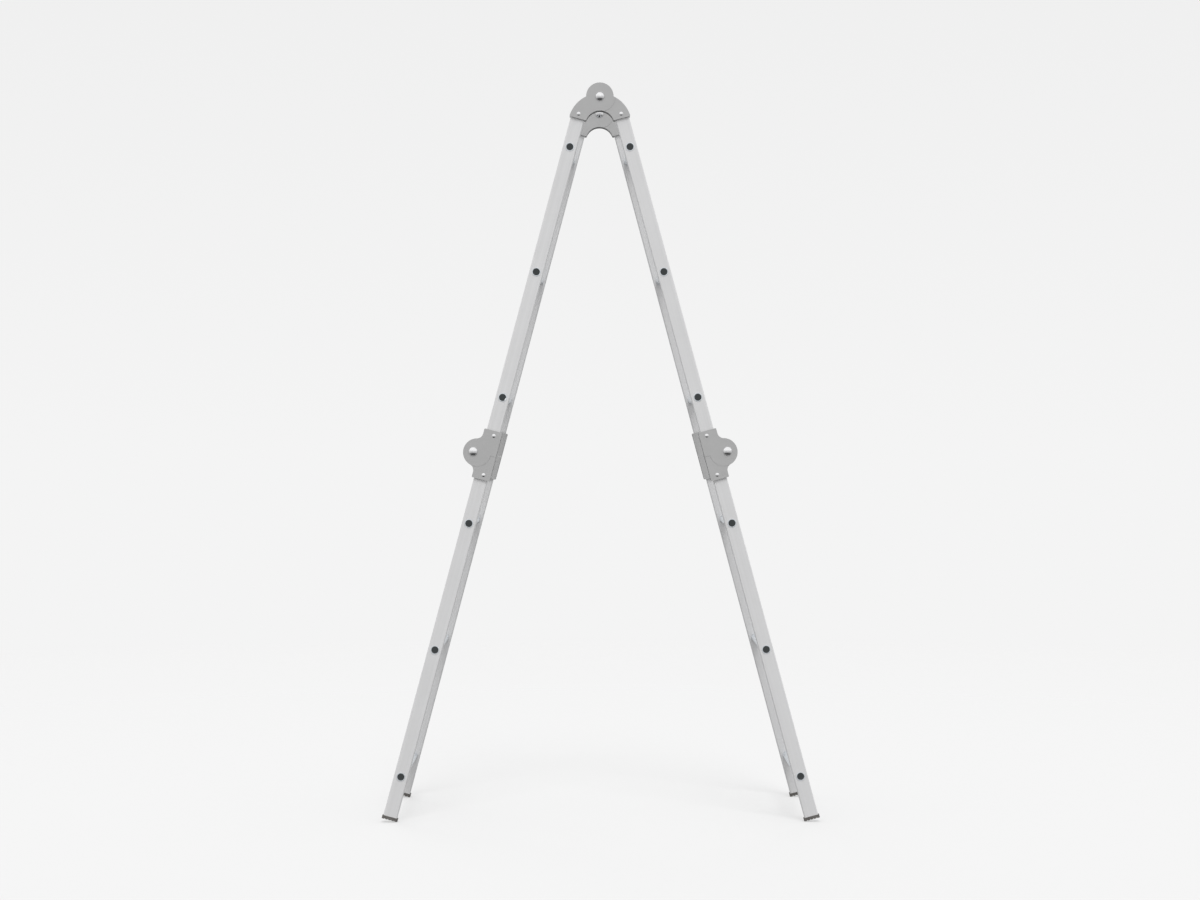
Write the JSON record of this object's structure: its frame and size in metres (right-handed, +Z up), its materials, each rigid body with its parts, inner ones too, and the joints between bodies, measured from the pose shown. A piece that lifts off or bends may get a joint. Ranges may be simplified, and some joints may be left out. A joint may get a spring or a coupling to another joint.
{
  "type": "multi position ladder",
  "caption": "Folding aluminium ladder of hinged sections, standing as an A-frame, with flared stiles, tubular rungs, locking plate hinges and rubber feet.",
  "frame": {"origin": "on the floor, at the middle of the ladder's outline seen from above, standing as an A-frame", "axes": "+X across the A from the left pair of sections to the right pair, +Y along the rungs toward the back, +Z up"},
  "size_m": [0.9368, 0.4548, 1.5873],
  "materials": {
    "stile_aluminium": "pale satin, drawn along the stile",
    "rung_aluminium": "satin anodised, slightly bluish",
    "hinge_steel": "mid-grey satin zinc",
    "pivot_steel": "bright domed rivet",
    "rivet_steel": "bright domed rivet",
    "lock_steel": "zinc-plated",
    "spring_steel": "drawn wire",
    "foot_rubber": "dark warm grey, matt"
  },
  "bodies": {
    "left_upper": {"left_upper_front_stile": "stile_aluminium", "left_upper_back_stile": "stile_aluminium", "left_upper_rung_1": "rung_aluminium", "left_upper_rung_2": "rung_aluminium", "left_upper_rung_3": "rung_aluminium", "left_upper_hinge_rivets": "rivet_steel", "top_hinge_front_covering_leaf": "hinge_steel", "top_hinge_front_pivot": "pivot_steel", "top_hinge_front_lock_spring": "spring_steel", "left_knee_front_covering_leaf": "hinge_steel", "left_knee_front_pivot": "pivot_steel", "left_knee_front_lock_spring": "spring_steel", "top_hinge_back_covering_leaf": "hinge_steel", "top_hinge_back_pivot": "pivot_steel", "top_hinge_back_lock_spring": "spring_steel", "left_knee_back_covering_leaf": "hinge_steel", "left_knee_back_pivot": "pivot_steel", "left_knee_back_lock_spring": "spring_steel"},
    "left_lower": {"left_lower_front_stile": "stile_aluminium", "left_lower_back_stile": "stile_aluminium", "left_lower_rung_1": "rung_aluminium", "left_lower_rung_2": "rung_aluminium", "left_lower_rung_3": "rung_aluminium", "left_lower_hinge_rivets": "rivet_steel", "left_knee_front_covered_leaf": "hinge_steel", "left_front_foot": "foot_rubber", "left_knee_back_covered_leaf": "hinge_steel", "left_back_foot": "foot_rubber"},
    "right_upper": {"right_upper_front_stile": "stile_aluminium", "right_upper_back_stile": "stile_aluminium", "right_upper_rung_1": "rung_aluminium", "right_upper_rung_2": "rung_aluminium", "right_upper_rung_3": "rung_aluminium", "right_upper_hinge_rivets": "rivet_steel", "top_hinge_front_covered_leaf": "hinge_steel", "right_knee_front_covering_leaf": "hinge_steel", "right_knee_front_pivot": "pivot_steel", "right_knee_front_lock_spring": "spring_steel", "top_hinge_back_covered_leaf": "hinge_steel", "right_knee_back_covering_leaf": "hinge_steel", "right_knee_back_pivot": "pivot_steel", "right_knee_back_lock_spring": "spring_steel"},
    "right_lower": {"right_lower_front_stile": "stile_aluminium", "right_lower_back_stile": "stile_aluminium", "right_lower_rung_1": "rung_aluminium", "right_lower_rung_2": "rung_aluminium", "right_lower_rung_3": "rung_aluminium", "right_lower_hinge_rivets": "rivet_steel", "right_knee_front_covered_leaf": "hinge_steel", "right_front_foot": "foot_rubber", "right_knee_back_covered_leaf": "hinge_steel", "right_back_foot": "foot_rubber"},
    "top_hinge_front_lock": {"top_hinge_front_lock_slider": "lock_steel"},
    "left_knee_front_lock": {"left_knee_front_lock_slider": "lock_steel"},
    "right_knee_front_lock": {"right_knee_front_lock_slider": "lock_steel"},
    "top_hinge_back_lock": {"top_hinge_back_lock_slider": "lock_steel"},
    "left_knee_back_lock": {"left_knee_back_lock_slider": "lock_steel"},
    "right_knee_back_lock": {"right_knee_back_lock_slider": "lock_steel"}
  },
  "joints": [
    {"name": "top_hinge", "type": "hinge", "parent": "left_upper", "child": "right_upper", "pos_m": [0, 0, 1.55775], "axis": [0, 1, 0], "range_deg": [-150, 30]},
    {"name": "left_knee", "type": "hinge", "parent": "left_upper", "child": "left_lower", "pos_m": [-0.27291, 0, 0.7923], "axis": [0, 1, 0], "range_deg": [0, 180]},
    {"name": "right_knee", "type": "hinge", "parent": "right_upper", "child": "right_lower", "pos_m": [0.27291, 0, 0.7923], "axis": [0, -1, 0], "range_deg": [0, 180]},
    {"name": "top_hinge_front_lock_slide", "type": "slide", "parent": "left_upper", "child": "top_hinge_front_lock", "axis": [0.9659, 0, 0.2588], "range_m": [0, 0.0038]},
    {"name": "left_knee_front_lock_slide", "type": "slide", "parent": "left_upper", "child": "left_knee_front_lock", "axis": [-0.9659, 0, -0.2588], "range_m": [0, 0.0038]},
    {"name": "right_knee_front_lock_slide", "type": "slide", "parent": "right_upper", "child": "right_knee_front_lock", "axis": [0.9659, 0, -0.2588], "range_m": [0, 0.0038]},
    {"name": "top_hinge_back_lock_slide", "type": "slide", "parent": "left_upper", "child": "top_hinge_back_lock", "axis": [0.9659, 0, 0.2588], "range_m": [0, 0.0038]},
    {"name": "left_knee_back_lock_slide", "type": "slide", "parent": "left_upper", "child": "left_knee_back_lock", "axis": [-0.9659, 0, -0.2588], "range_m": [0, 0.0038]},
    {"name": "right_knee_back_lock_slide", "type": "slide", "parent": "right_upper", "child": "right_knee_back_lock", "axis": [0.9659, 0, -0.2588], "range_m": [0, 0.0038]}
  ]
}
